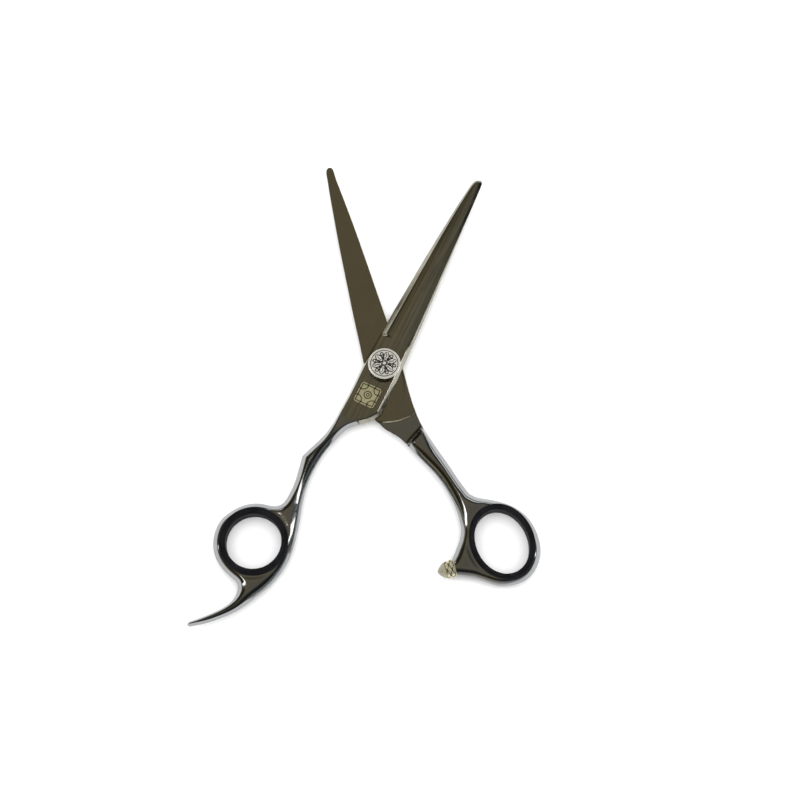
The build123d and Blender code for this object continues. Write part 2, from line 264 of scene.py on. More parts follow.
def turned(profile: Points, count: int, radii: Callable[[Points], Points] | None = None) -> Sheet:
    """A closed surface of revolution about Z, open profiles ending on the axis close by themselves.

    Args:
        profile: points of radius and height.
        count: how many steps around.
        radii: gives each radius its two half-axes, for an oval; a circle without it.

    Returns:
        The sheet, profile points by angles.
    """
    angle = np.linspace(0, 2 * math.pi, count, endpoint=False)
    half_axes = radii(profile[:, 0]) if radii else np.stack([profile[:, 0]] * 2, axis=1)
    x = half_axes[:, :1] * np.cos(angle)
    y = half_axes[:, 1:] * np.sin(angle)
    return Sheet(np.stack([x, y, np.broadcast_to(profile[:, 1:], x.shape)], axis=2), wrap_columns=True)


def piece(name: str, sheets: Sequence[Sheet], place: Callable[[Points], Points],
          sharp: float) -> bpy.types.Object:
    """Joins sheets into one closed mesh whose object sits at the origin.

    Args:
        name: the piece's name.
        sheets: the grids, which meet where their points coincide.
        place: turns the grids' millimetres into row-frame metres.
        sharp: edges that turn more than this many degrees stay sharp.

    Returns:
        The object, linked to the scene.
    """
    points, faces, shades, offset = [], [], [], 0
    for sheet in sheets:
        flat = sheet.points.reshape(-1, 3)
        points.append(flat)
        faces.append(sheet.faces(offset))
        shades.append(np.zeros(len(flat)) if sheet.shade is None else sheet.shade.ravel())
        offset += len(flat)
    mesh = bpy.data.meshes.new(name)
    mesh.from_pydata(place(np.concatenate(points)).tolist(), [], np.concatenate(faces).tolist())
    shade = mesh.attributes.new("shade", "FLOAT", "POINT")
    shade.data.foreach_set("value", np.concatenate(shades).astype(np.float32))
    body = bmesh.new()
    body.from_mesh(mesh)
    bmesh.ops.remove_doubles(body, verts=body.verts, dist=2e-7)
    bmesh.ops.dissolve_degenerate(body, edges=body.edges, dist=1e-7)
    bmesh.ops.recalc_face_normals(body, faces=body.faces)
    body.to_mesh(mesh)
    body.free()
    mesh.polygons.foreach_set("use_smooth", np.ones(len(mesh.polygons), bool))
    mesh.set_sharp_from_angle(angle=math.radians(sharp))
    made = bpy.data.objects.new(name, mesh)
    bpy.context.scene.collection.objects.link(made)
    return made


def hand_over(made: bpy.types.Object, body: str, slot: str, finish: "Finish", *nodes: str) -> None:
    """Dresses a piece, rides it on its body, and hides the CAD nodes that it replaces.

    Args:
        made: the piece.
        body: the CAD body that it moves with.
        slot: not used.
        finish: what it wears.
        nodes: the CAD nodes that it replaces.
    """
    made.data.materials.clear()
    made.data.materials.append(finish.material())
    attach(made, body)
    if nodes:
        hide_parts(*nodes)
    LOG.info("%s: %d faces on %s", made.name, len(made.data.polygons), body)


# ---- shader maths
@dataclass(frozen=True)
class Value:
    """A number socket that can be used in Python expressions."""

    graph: "Graph"
    socket: Any

    def _math(self, operation: str, *values: Any) -> "Value":
        """One Math node."""
        return self.graph.value("ShaderNodeMath", {"operation": operation}, dict(enumerate(values)))

    def __add__(self, other: Any) -> "Value":
        """Sum."""
        return self._math("ADD", self, other)

    def __mul__(self, other: Any) -> "Value":
        """Product."""
        return self._math("MULTIPLY", self, other)

    def __sub__(self, other: Any) -> "Value":
        """Difference."""
        return self._math("SUBTRACT", self, other)

    def __rsub__(self, other: Any) -> "Value":
        """Difference with a number in front."""
        return self._math("SUBTRACT", other, self)

    __radd__ = __add__
    __rmul__ = __mul__


class Graph:
    """The node tree of a material or of the world, built through a single method."""

    def __init__(self, made: Any) -> None:
        """Switches the nodes on.

        Args:
            made: the new material or world.
        """
        made.use_nodes = True
        self.made = made
        self.tree = made.node_tree
        self.shader = self.tree.nodes.get("Principled BSDF")

    def node(self, kind: str, settings: dict[str, Any] | None = None,
             inputs: dict[Any, Any] | None = None) -> Any:
        """Adds a node.

        Args:
            kind: the node's type.
            settings: its properties, set first; "stops" fills a colour ramp.
            inputs: its sockets' values or links, by name or number.

        Returns:
            The node.
        """
        made = self.tree.nodes.new(kind)
        for key, setting in (settings or {}).items():
            if key == "stops":
                self.fill(made.color_ramp, setting)
            else:
                setattr(made, key, setting)
        for key, given in (inputs or {}).items():
            self.feed(made.inputs[key], given)
        return made

    def feed(self, socket: Any, given: Any) -> None:
        """Links or sets one socket.

        Args:
            socket: the input.
            given: a Value or an output to link, or a number, vector or colour to set.
        """
        source = given.socket if isinstance(given, Value) else given
        if isinstance(source, bpy.types.NodeSocket):
            self.tree.links.new(source, socket)
        else:
            socket.default_value = source

    def value(self, kind: str, settings: dict[str, Any] | None = None, inputs: dict[Any, Any] | None = None,
              output: Any = 0) -> Value:
        """Adds a node and returns one of its outputs as a Value."""
        return Value(self, self.node(kind, settings, inputs).outputs[output])

    @staticmethod
    def fill(ramp: Any, stops: Sequence[tuple[float, Any]]) -> None:
        """Gives a colour ramp its stops.

        Args:
            ramp: the ramp.
            stops: places from 0 to 1 with their colours, in order.
        """
        while len(ramp.elements) < len(stops):
            ramp.elements.new(1.0)
        for element, (place, colour) in zip(ramp.elements, stops):
            element.position = place
            element.color = (*colour, 1) if len(colour) == 3 else colour

    def place(self, scale: tuple[float, float, float], turn: float = 0.0) -> Value:
        """Object coordinates turned about Z and scaled.

        Args:
            scale: the factor along each axis.
            turn: the turn in radians.

        Returns:
            The coordinates.
        """
        coords = self.value("ShaderNodeTexCoord", output="Object")
        turned_coords = self.value("ShaderNodeMapping", {"vector_type": "TEXTURE"},
                                   {"Vector": coords, "Rotation": (0, 0, turn)})
        return self.value("ShaderNodeMapping", None, {"Vector": turned_coords, "Scale": scale})

    def noise(self, where: Value, scale: float, detail: float = 3.0, roughness: float = 0.5) -> Value:
        """A noise value around a half."""
        return self.value("ShaderNodeTexNoise", {"noise_dimensions": "3D"},
                          {"Vector": where, "Scale": scale, "Detail": detail, "Roughness": roughness})

    def spread(self, given: Any, low: float, high: float, to_low: float = 0.0,
               to_high: float = 1.0) -> Value:
        """Stretches low..high to to_low..to_high and clamps it."""
        return self.value("ShaderNodeMapRange", {"clamp": True},
                          {"Value": given, "From Min": low, "From Max": high,
                           "To Min": to_low, "To Max": to_high})

    def blend(self, factor: Any, first: Any, second: Any) -> Value:
        """Mixes two colours."""
        return self.value("ShaderNodeMix", {"data_type": "RGBA"},
                          {"Factor": factor, 6: first, 7: second}, output=2)

    def bump(self, height: Value, depth: float, strength: float = 1.0) -> None:
        """Feeds a bump of that many metres to the shader's normal."""
        made = self.node("ShaderNodeBump", None, {"Height": height, "Distance": depth, "Strength": strength})
        self.feed(self.shader.inputs["Normal"], made.outputs["Normal"])

    def shade(self) -> Value:
        """The piece's own engraving mask."""
        return self.value("ShaderNodeAttribute", {"attribute_name": "shade"}, output="Fac")

    def dress(self, **sockets: Any) -> None:
        """Feeds the shader's sockets, named with underscores for spaces."""
        for key, given in sockets.items():
            self.feed(self.shader.inputs[key.replace("_", " ")], given)


Colour = tuple[float, float, float, float]


@dataclass(frozen=True)
class Finish:
    """A material that is built once and shared."""

    name: str

    def material(self) -> bpy.types.Material:
        """The finished material, built the first time it is asked for."""
        return bpy.data.materials.get(self.name) or self.build()

    def build(self) -> bpy.types.Material:
        """Makes the material's nodes."""
        raise NotImplementedError


@dataclass(frozen=True)
class Steel(Finish):
    """Ground steel: fine lines along the half, soft mottling, and wiping marks in its roughness."""

    light: Colour = (0.33, 0.325, 0.305, 1)
    dark: Colour = (0.29, 0.28, 0.26, 1)
    roughness: Pair = (0.10, 0.20)
    turn: float = 0.0
    line_depth: float = 4e-7
    line_scale: float = 5200.0
    stretch: float = 0.03
    line_share: float = 0.55

    def build(self) -> bpy.types.Material:
        """Long thin noise along the half gives colour, roughness and a shallow bump.

        Returns:
            The material.
        """
        graph = Graph(bpy.data.materials.new(self.name))
        along = graph.place((1.0, self.stretch, 1.0), self.turn)
        lines = graph.noise(along, self.line_scale, 4.0, 0.65)
        mottle = graph.noise(graph.place((1, 1, 1)), 150.0, 3.0, 0.55)
        wiped = graph.noise(graph.place((1, 0.35, 1), self.turn + 0.5), 420.0, 2.0, 0.5)
        mask = graph.spread(lines * self.line_share + mottle * (1 - self.line_share), 0.36, 0.62)
        low, high = self.roughness
        graph.dress(Base_Color=graph.blend(mask, self.dark, self.light), Metallic=1.0,
                    Roughness=graph.spread(lines * 0.5 + wiped * 0.5, 0.38, 0.62, low, high))
        graph.bump(lines, self.line_depth)
        return graph.made


@dataclass(frozen=True)
class Relief(Finish):
    """Plated metal with an engraved pattern: its grooves hold dark patina."""

    crest: Colour = (0.86, 0.84, 0.78, 1)
    groove: Colour = (0.02, 0.019, 0.016, 1)
    roughness: Pair = (0.12, 0.5)
    grain: float = 900.0
    metal: float = 0.62

    def build(self) -> bpy.types.Material:
        """The engraving mask mixes crest and patina; noise mottles both.

        Returns:
            The material.
        """
        graph = Graph(bpy.data.materials.new(self.name))
        mottle = graph.noise(graph.place((1, 1, 1)), self.grain, 4.0, 0.6)
        mask = graph.spread(graph.shade() + (mottle - 0.5) * 0.5, 0.30, 0.70)
        dull = (*(0.78 * c for c in self.crest[:3]), 1)
        worn = graph.blend(graph.spread(mottle, 0.35, 0.7), self.crest, dull)
        low, high = self.roughness
        graph.dress(Base_Color=graph.blend(mask, worn, self.groove),
                    Metallic=graph.spread(mask, 0, 1, self.metal, 0.5),
                    Roughness=graph.spread(mask * 0.8 + mottle * 0.2, 0, 1, low, high))
        graph.bump(mottle, 1.5e-6)
        return graph.made


@dataclass(frozen=True)
class Moulded(Finish):
    """Moulded rubber or nylon: fine grain and dusty mottling."""

    colour: Colour = (0.004, 0.004, 0.005, 1)
    bloom: Colour = (0.009, 0.009, 0.011, 1)
    roughness: Pair = (0.50, 0.68)
    depth: float = 6e-6
    gloss: float = 0.09

    def build(self) -> bpy.types.Material:
        """Two noises: a fine one for grain and a broad one for bloom.

        Returns:
            The material.
        """
        graph = Graph(bpy.data.materials.new(self.name))
        grain = graph.noise(graph.place((1, 1, 1)), 5200.0, 3.0, 0.6)
        broad = graph.noise(graph.place((1, 1, 1)), 260.0, 3.0, 0.5)
        low, high = self.roughness
        dusty = graph.spread(broad * 0.7 + grain * 0.3, 0.38, 0.66)
        graph.dress(Base_Color=graph.blend(dusty, self.colour, self.bloom),
                    Roughness=graph.spread(broad, 0.3, 0.7, low, high))
        graph.shader.inputs["Specular IOR Level"].default_value = self.gloss
        graph.bump(grain, self.depth)
        return graph.made


BLADE_FRONT = Steel("steel_blade_front", (0.385, 0.365, 0.30, 1), (0.225, 0.22, 0.19, 1), (0.09, 0.20),
                    math.radians(-HALF_OPENING), 4e-7, 1700.0, 0.014, 0.8)
BLADE_REAR = Steel("steel_blade_rear", (0.325, 0.295, 0.225, 1), (0.29, 0.262, 0.198, 1), (0.17, 0.22),
                   math.radians(HALF_OPENING))
HANDLE_LIGHT, HANDLE_DARK = (0.33, 0.335, 0.34, 1), (0.28, 0.284, 0.288, 1)
HANDLE_FRONT, HANDLE_REAR = (
    Steel(name, HANDLE_LIGHT, HANDLE_DARK, (0.07, 0.14), math.radians(turn), 1.5e-7)
    for name, turn in (("steel_handle_finger", -HALF_OPENING), ("steel_handle_thumb", HALF_OPENING)))
SMALL_STEEL = Steel("steel_turned", (0.66, 0.66, 0.65, 1), (0.55, 0.55, 0.53, 1), (0.16, 0.28))
DIAL_SILVER = Relief("dial_silver", (0.80, 0.78, 0.72, 1), roughness=(0.24, 0.6))
GILT = Relief("gilt_badge", (0.34, 0.31, 0.175, 1), (0.03, 0.025, 0.015, 1), (0.42, 0.6), metal=0.45)
GILT_RELIEF = Relief("gilt_bumper", (0.60, 0.56, 0.38, 1), (0.05, 0.042, 0.022, 1), (0.22, 0.5))
BLACK_RUBBER = Moulded("rubber_insert")
PALE_PAD = Moulded("bumper_nose", (0.22, 0.21, 0.145, 1), (0.30, 0.285, 0.205, 1), (0.30, 0.45), gloss=0.5)
NYLON = Moulded("nylon_bearing", (0.62, 0.61, 0.57, 1), (0.74, 0.73, 0.69, 1), (0.35, 0.5))


# ---- blades
@dataclass
class Blade:
    """A convex blade with its ricasso, as a slab without the pivot's bore.

    The cutting edge is at low x before mirroring.
    """

    half: Half
    name: str
    finish: Steel
    edge: list[Pair]
    spine: list[Pair]
    heel: list[Pair]
    inner: float
    outward: int
    tip: Pair
    thickness: float = FRONT_FACE - FRONT_INNER
    column_count: int = 64
    flank_rise: float = 0.88
    chamfer_slope: float = 1.5
    facet_drop: float = 0.70
    facet_slope: float = 0.58
    shoulder_start: float = 10.35
    shoulder_sweep: float = 2.3

    def rows(self) -> Points:
        """Distances along the blade, close together at the tip, at the blade's shoulder and at the heel.

        Returns:
            The rows' y, rising.
        """
        far, near = self.tip[1], self.heel[-1][1]
        spans = [np.linspace(near, -14, 60), np.linspace(-14, 7.4, 50), np.linspace(7.4, 11.4, 56),
                 np.linspace(11.4, far - 3, 150), far - 3 * np.linspace(1, 0, 40) ** 2]
        return np.unique(np.concatenate(spans))

    def outline(self) -> tuple[Points, Points]:
        """The edge's and the spine's lines, both ending on the tip.

        Returns:
            The two lines.
        """
        edge = spline([*self.edge], 400)
        spine = np.concatenate([spline(self.heel[::-1], 60)[:-1], spline([*self.spine], 400)])
        return edge, spine

    def outer(self, plan: Points, edge: Points, spine: Points) -> Points:
        """Heights of the outer face over the inner one.

        The ricasso is a flat cut by a short bevel at the edge side. The blade is the lowest of three
        surfaces: the edge bevel, a rising convex flank and a falling one. Both are cut along the spine
        by a chamfer with a narrow facet over it, and they meet in a curved shoulder beyond the dial.

        Args:
            plan: the plan points.
            edge: the cutting edge's line.
            spine: the spine's line.

        Returns:
            One height for each plan point.
        """
        x, y = plan[..., 0], plan[..., 1]
        to_edge, to_spine = distance(plan, edge), distance(plan, spine)
        width = to_edge + to_spine + 1e-9
        share = to_edge / width
        sag = 1 - 0.62 * step(y, 8, self.tip[1] + 4)
        full = self.thickness * sag
        rise = 0.06 + self.flank_rise * np.sqrt(to_edge**2 + 0.06 * to_edge)
        left = soft_min(full * (0.72 + 0.85 * share - 0.35 * share**2), rise, 0.10)
        past = share - 0.35
        chamfer = soft_min(0.34 * full + self.chamfer_slope * to_spine,
                           full - self.facet_drop + self.facet_slope * to_spine, 0.04)
        right = soft_min(full * (1.02 + 0.20 * past - 1.25 * past**2), chamfer, 0.08)
        blade = soft_min(left, right, 0.09)
        side = 2.6 * np.sqrt(to_edge**2 + 0.10 * to_edge)
        ricasso = soft_min(soft_min(side, chamfer, 0.04), np.full_like(x, self.thickness + 0.004), 0.05)
        shoulder = self.shoulder_start - self.shoulder_sweep * step(x, -2.6, 5.0)
        fade = 0.55 + 6.5 * step(share, 0.42, 0.95)
        return np.maximum(ricasso + (blade - ricasso) * step(y, shoulder - 0.75, shoulder + fade), 0.0)

    def inner_face(self, plan: Points) -> Points:
        """How far the inner face is hollowed below the ride plane: nothing on the front blade."""
        return np.zeros(plan.shape[:-1])

    def meet_handle(self, plan: Points) -> Points:
        """The plan with its first rows shaped to the weld: straight on the front blade."""
        return plan

    def build(self) -> None:
        """Builds the blade as a closed slab and rides it on its half."""
        edge, spine = self.outline()
        rows = self.rows()
        share = crowded(self.column_count)
        low, high = x_on(edge, rows)[:, None], x_on(spine, rows)[:, None]
        across = low + (high - low) * share
        plan = np.stack([across, np.broadcast_to(rows[:, None], across.shape)], axis=2)
        plan = self.meet_handle(plan)
        outer = self.inner + self.outward * self.outer(plan, edge, spine)
        inner = self.inner + self.outward * self.inner_face(plan)
        mirror = np.array([self.outward, 1.0])
        top, bottom = np.maximum(outer, inner), np.minimum(outer, inner)
        made = piece(self.name, slab(plan * mirror, top, bottom, ends=(0,)), self.half.place, 38)
        hand_over(made, self.half.body, "blade_steel", self.finish, self.name.removesuffix("_skin"))


@dataclass
class RearBlade(Blade):
    """The lower blade, whose inner face shows: its ride pad stands proud around the pivot."""

    weld_radius: float = WELD_RADIUS

    def meet_handle(self, plan: Points) -> Points:
        """Bends the first rows to the weld's arc, fading out towards the pivot."""
        return bent_to_arc(plan, self.weld_radius, self.heel[-1][1], self.heel[-1][1] + 7)

    def inner_face(self, plan: Points) -> Points:
        """An oval pad, a step down around it, and a cove that rises to a lip at the weld.

        The oval is where its squared, scaled coordinates add up to one.

        Args:
            plan: the plan points.

        Returns:
            How far each lies below the ride plane.
        """
        x, y = -plan[..., 0], plan[..., 1]
        oval = np.sqrt(((x - 0.2) / 5.3) ** 2 + ((y + 1.5) / 14.0) ** 2)
        beyond = step(-y, -6.0, 2.0)
        rim = (0.15 * step(oval, 0.95, 1.05) + 0.24 * np.clip(oval - 1.05, 0, 1)) * beyond
        radius = np.hypot(x, y)
        fall, rise = np.clip((radius - 17.2) / 1.3, 0, 1), np.clip((radius - 18.9) / 0.8, 0, 1)
        cove = 0.35 * fall * (1 - rise) * step(-y, 10, 14)
        return rim + cove


# ---- handles
@dataclass
class Handle:
    """A cast handle: a shank, a ring with its webs, and an arm that leaves the ring.

    Its outline is two lines from the weld: the far side, and the near side, which goes round the
    outside of the ring. Every surface height comes from the distance to them, so facets meet in ridges.
    """

    half: Half
    name: str
    finish: Steel
    near_shank: list[list[Pair]]
    far_shank: list[list[Pair]]
    near_ring: list[Pair]
    far_ring: list[Pair]
    near_arm: list[Pair]
    far_arm: list[Pair]
    centre: Pair
    seat: Pair
    lean: float
    cove: tuple[Pair, Pair]
    relief: float
    upper_cut: bool
    weld_radius: float = 0.0
    facet: float = 1.30
    shoulder: float = 0.50
    crown: float = 2.66
    ring_crown: float = 2.34
    across: int = 44

    def side(self, runs: Sequence[Sequence[Pair]], count: int = 160) -> Points:
        """Smooth runs that meet at corners, as one line."""
        return np.concatenate([spline(run, count) for run in runs])

    def height(self, plan: Points) -> Points:
        """Height over the mid-plane: a steep facet from the outline, a gentler one, and a low crown.

        The facet is slope * sqrt(d^2 + 0.24 d), whose foot is round. Near the weld it steepens and the
        crown drops to the blade's face, and near the ring's seat the crown drops under the insert.

        Args:
            plan: the plan points.

        Returns:
            One height for each point.
        """
        d = np.minimum(distance(plan, self.near_line), distance(plan, self.far_line))
        y = plan[..., 1]
        ease = step(-y, 21.5, 34.0)
        slope = 2.4 + (self.facet - 2.4) * ease * (1 - 0.85 * step(-y, 89.0, 98.0))
        facet = slope * np.sqrt(d**2 + 0.24 * d)
        upper = 2.1 + (1.36 - 2.1) * ease + self.shoulder * d
        flat = (FRONT_FACE - MID_PLANE) + (self.crown - FRONT_FACE + MID_PLANE) * ease
        out = self.beyond_seat(plan)
        flat = soft_min(flat, self.ring_crown + 0.30 * np.maximum(out - 1.6, 0), 0.10)
        tall = soft_min(facet, soft_min(upper, flat + 0.02, 0.30), 0.42)
        return np.maximum(tall, 0) * (1 - 0.035 * np.exp(-((d / 2.2) ** 2)) * ease)

    def beyond_seat(self, plan: Points) -> Points:
        """Roughly how far points lie outside the seat: scaled radius less one, times the mean radius."""
        u, v = self.in_ring(plan)
        return (np.hypot(u / self.seat[0], v / self.seat[1]) - 1) * math.sqrt(self.seat[0] * self.seat[1])

    def in_ring(self, plan: Points) -> tuple[Points, Points]:
        """Plan points in the ring's own axes."""
        return spun(plan[..., 0] - self.centre[0], plan[..., 1] - self.centre[1], -self.lean)

    def seat_points(self, outer: Points) -> Points:
        """The seat's points that face the outer ones, at the same angle on the scaled oval.

        Args:
            outer: points on the ring's outer border.

        Returns:
            As many points on the seat.
        """
        u, v = self.in_ring(outer)
        angle = np.arctan2(v / self.seat[1], u / self.seat[0])
        x, y = spun(self.seat[0] * np.cos(angle), self.seat[1] * np.sin(angle), self.lean)
        return np.stack([x + self.centre[0], y + self.centre[1]], axis=-1)

    def cove_share(self, plan: Points) -> Points:
        """How much of the full thickness stands: 1 beyond the cove's line, falling to 0 as a square.

        Args:
            plan: the plan points.

        Returns:
            The share at each point, with the ribs' small waves added.
        """
        a, b = np.array(self.cove[0]), np.array(self.cove[1])
        along = (b - a) / np.linalg.norm(b - a)
        normal = np.array([-along[1], along[0]])
        normal = normal * np.sign(normal[1])
        past = (plan - a) @ normal
        ribs = 0.045 * np.sin(past * 2 * math.pi / 0.62) * step(past, -0.3, 0.1) * (1 - step(past, 1.6, 2.0))
        return np.clip(1 - past / 3.0, 0, 1) ** 2 + ribs

    def plans(self) -> tuple[Points, Points, Points]:
        """The shank's, the ring's and the arm's plan grids, which share their border points.

        Returns:
            The three grids.
        """
        share = crowded(self.across)[:, None]
        near, far = self.side(self.near_shank), self.side(self.far_shank)
        end_near, end_far = near[-1], far[-1]
        places = np.linspace(0, 1, 190)[:, None]
        rows = far[0, 1] + (end_far[1] - far[0, 1]) * places
        left, right = x_on(far, rows), x_on(near, rows)
        shank = np.stack([left + (right - left) * share.T, np.broadcast_to(rows, (190, self.across))], axis=2)
        if self.weld_radius:
            shank = bent_to_arc(shank, self.weld_radius, far[0, 1], far[0, 1] - 7)
        near_ring, far_ring = spline(self.near_ring, 230), spline(self.far_ring, 200)
        arm_row = far_ring[-1] + (near_ring[0] - far_ring[-1]) * share
        border = np.concatenate([near_ring[:-1], shank[-1][::-1], far_ring[1:-1], arm_row[:-1]])
        border[len(near_ring) - 1], border[len(near_ring) + self.across - 2] = end_near, end_far
        seat = self.seat_points(border)
        ring = seat + (border - seat) * crowded(34)[:, None, None]
        near_arm, far_arm = spline(self.near_arm, 110)[:, None], spline(self.far_arm, 110)[:, None]
        arm = far_arm + (near_arm - far_arm) * share.T[..., None]
        return shank, ring, arm

    def levels(self, plan: Points) -> tuple[Points, Points]:
        """Heights of plan points. The cut side drops to its relief above the cove.

        Args:
            plan: the plan points.

        Returns:
            The upper and the lower heights.
        """
        full = self.height(plan)
        cut = self.relief + (full - self.relief) * self.cove_share(plan)
        cut = np.where(full < 1e-6, np.minimum(cut, np.maximum(self.relief, 0)), cut)
        upper, lower = (cut, full) if self.upper_cut else (full, cut)
        return MID_PLANE + upper, MID_PLANE - lower

    def build(self) -> None:
        """Builds the handle as one closed mesh and rides it on its half."""
        self.near_line = np.concatenate([self.side(self.near_shank), spline(self.near_ring, 260)[::-1],
                                         spline(self.near_arm, 120)])
        self.far_line = np.concatenate([self.side(self.far_shank), spline(self.far_ring, 260),
                                        spline(self.far_arm, 120)])
        shank, ring, arm = self.plans()
        sheets = slab(shank, *self.levels(shank), ends=(0,))
        sheets += slab(ring, *self.levels(ring), ends=(0,), wrap=True)
        sheets += slab(arm, *self.levels(arm), ends=(-1,))
        made = piece(self.name, sheets, self.half.place, 55)
        hand_over(made, self.half.body, "handle_steel", self.finish, self.name.removesuffix("_skin"))


# ---- ring inserts
@dataclass
class Insert:
    """A rubber liner: a sleeve with a rolled, grooved flange above and below the ring."""

    half: Half
    name: str
    centre: Pair
    bore: Pair
    lean: float = 0.0
    wall: float = 1.22
    flange: float = 2.35
    top: float = INSERT_TOP - MID_PLANE

    def profile(self) -> Points:
        """The closed section, mirrored about the mid-plane.

        Returns:
            Points of distance from the bore and height.
        """
        lip = spline([(0.0, 1.7), (0.06, 2.35), (0.38, self.top - 0.10), (0.86, self.top),
                      (1.26, self.top - 0.05)], 26)
        start = self.wall + 0.20
        places = start + (self.flange - start) * np.array([0.0, 0.12, 0.37, 0.73, 0.95, 1.0])
        drops = (self.top - 0.17, self.top - 0.06, self.top - 0.02, self.top - 0.14, self.top - 0.40, 2.42)
        roll = spline([*zip(places.tolist(), drops)], 24)
        upper = np.concatenate([[(0.02, 0.0), (0.0, 0.8)], lip, roll, [(self.wall, 2.36)]])
        lower = upper[::-1] * (1, -1)
        return np.concatenate([upper, lower[:-1]])

    def build(self) -> None:
        """Carries the section around the bore and rides it on its half."""
        sheet = turned(self.profile(), 220,
                       lambda out: np.stack([self.bore[0] + out, self.bore[1] + out], axis=1))
        sheet.wrap_rows = True
        x, y, z = np.moveaxis(sheet.points, -1, 0)
        x, y = spun(x, y, self.lean)
        sheet.points = np.stack([x + self.centre[0], y + self.centre[1], z + MID_PLANE], axis=-1)
        made = piece(self.name, [sheet], self.half.place, 60)
        hand_over(made, self.half.body, "insert_rubber", BLACK_RUBBER, self.name.removesuffix("_skin"))


# ---- ornaments
@dataclass
class Dial:
    """The tension dial: a domed disc with an engraved rosette, on a fluted nut."""

    radius: float = 5.5
    nut_radius: float = 5.25
    flutes: int = 36
    petals: int = 6
    depth: float = 0.17
    sag: float = 0.40
    bore: float = 1.83
    recess: float = 0.17

    def rosette(self, radius: Points, angle: Points) -> Points:
        """The engraving mask: leaf outlines, their veins, small rings between them, and two circles.

        A leaf's edge is where the arc length from its middle equals half its width, a sine of the radius.

        Args:
            radius: the places' radii.
            angle: the places' angles.

        Returns:
            The mask, 1 in the grooves.
        """
        sector = 2 * math.pi / self.petals
        turn = (angle + sector / 2) % sector - sector / 2
        between = sector / 2 - np.abs(turn)
        arc = np.abs(turn) * radius
        width = 0.92 * np.sin(math.pi * np.clip((radius - 0.85) / 3.35, 0, 1)) ** 0.75
        leaf = line_of(arc, width, 0.24) * step(radius, 0.8, 1.0) * (1 - step(radius, 4.1, 4.3))
        vein = line_of(arc, 0.0, 0.18) * step(radius, 1.3, 1.6) * (1 - step(radius, 3.2, 3.7))
        ring = line_of(np.hypot(between * radius, radius - 3.45), 0.50, 0.22)
        curl = line_of(np.hypot(between * radius - 0.1, radius - 2.0), 0.36, 0.13)
        circles = line_of(radius, 0.72, 0.20) + line_of(radius, 4.62, 0.16)
        return np.clip(leaf + vein + ring + curl + circles, 0, 1)

    def cap(self) -> Sheet:
        """The disc: a parabola less the engraving, with a rolled rim and a recess over the bolt's end.

        Returns:
            The sheet, closed at the axis.
        """
        angle = np.linspace(0, 2 * math.pi, 420, endpoint=False)[None, :]
        radius = np.linspace(0.0, 5.0, 110)[:, None]
        mask = self.rosette(radius, angle)
        top = DIAL_TOP - self.sag * (radius / self.radius) ** 2 - self.depth * mask
        face = np.stack([radius * np.cos(angle), radius * np.sin(angle), top], axis=2)
        edge_top = DIAL_TOP - self.sag * (5.0 / self.radius) ** 2
        rim = spline([(5.0, edge_top), (5.25, edge_top - 0.06), (5.45, edge_top - 0.20),
                      (self.radius, edge_top - 0.33), (5.46, DIAL_SEAT - 0.02), (5.2, DIAL_SEAT - 0.03)], 20)
        bore, roof = self.bore, DIAL_SEAT + self.recess
        under = np.concatenate([rim[1:], [(bore, DIAL_SEAT - 0.03), (bore, roof), (0.0, roof)]])
        skirt = turned(under, 420).points
        shade = np.concatenate([mask, np.zeros((len(under), 420))])
        return Sheet(np.concatenate([face, skirt]), wrap_columns=True, shade=shade)

    def nut(self) -> Sheet:
        """A closed ring section whose outer wall is fluted by a cosine of the angle.

        Returns:
            The sheet.
        """
        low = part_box("dial_nut")[0].z / MM
        profile = np.array([(self.bore, DIAL_SEAT - 0.03), (4.9, DIAL_SEAT - 0.03), (5.15, DIAL_SEAT - 0.05),
                            (self.nut_radius, DIAL_SEAT - 0.20), (self.nut_radius, low + 0.16), (5.12, low),
                            (4.70, low), (4.55, low + 0.10), (4.55, low + 0.85), (self.bore, low + 0.85)])
        sheet = turned(profile, 432)
        x, y, z = np.moveaxis(sheet.points, -1, 0)
        radius, angle = np.hypot(x, y), np.arctan2(y, x)
        wave = 1 - 0.030 * (0.5 + 0.5 * np.cos(self.flutes * angle)) * step(radius, 5.0, 5.2)
        sheet.points = np.stack([x * wave, y * wave, z], axis=-1)
        sheet.wrap_rows = True
        return sheet

    def build(self) -> None:
        """Builds the disc and the nut, which turn with the dial."""
        cap = piece("dial_cap_skin", [self.cap()], Half.THUMB.place, 70)
        hand_over(cap, "tension_dial", "dial_steel", DIAL_SILVER, "dial_cap")
        nut = piece("dial_nut_skin", [self.nut()], Half.THUMB.place, 45)
        hand_over(nut, "tension_dial", "dial_steel", SMALL_STEEL, "dial_nut")


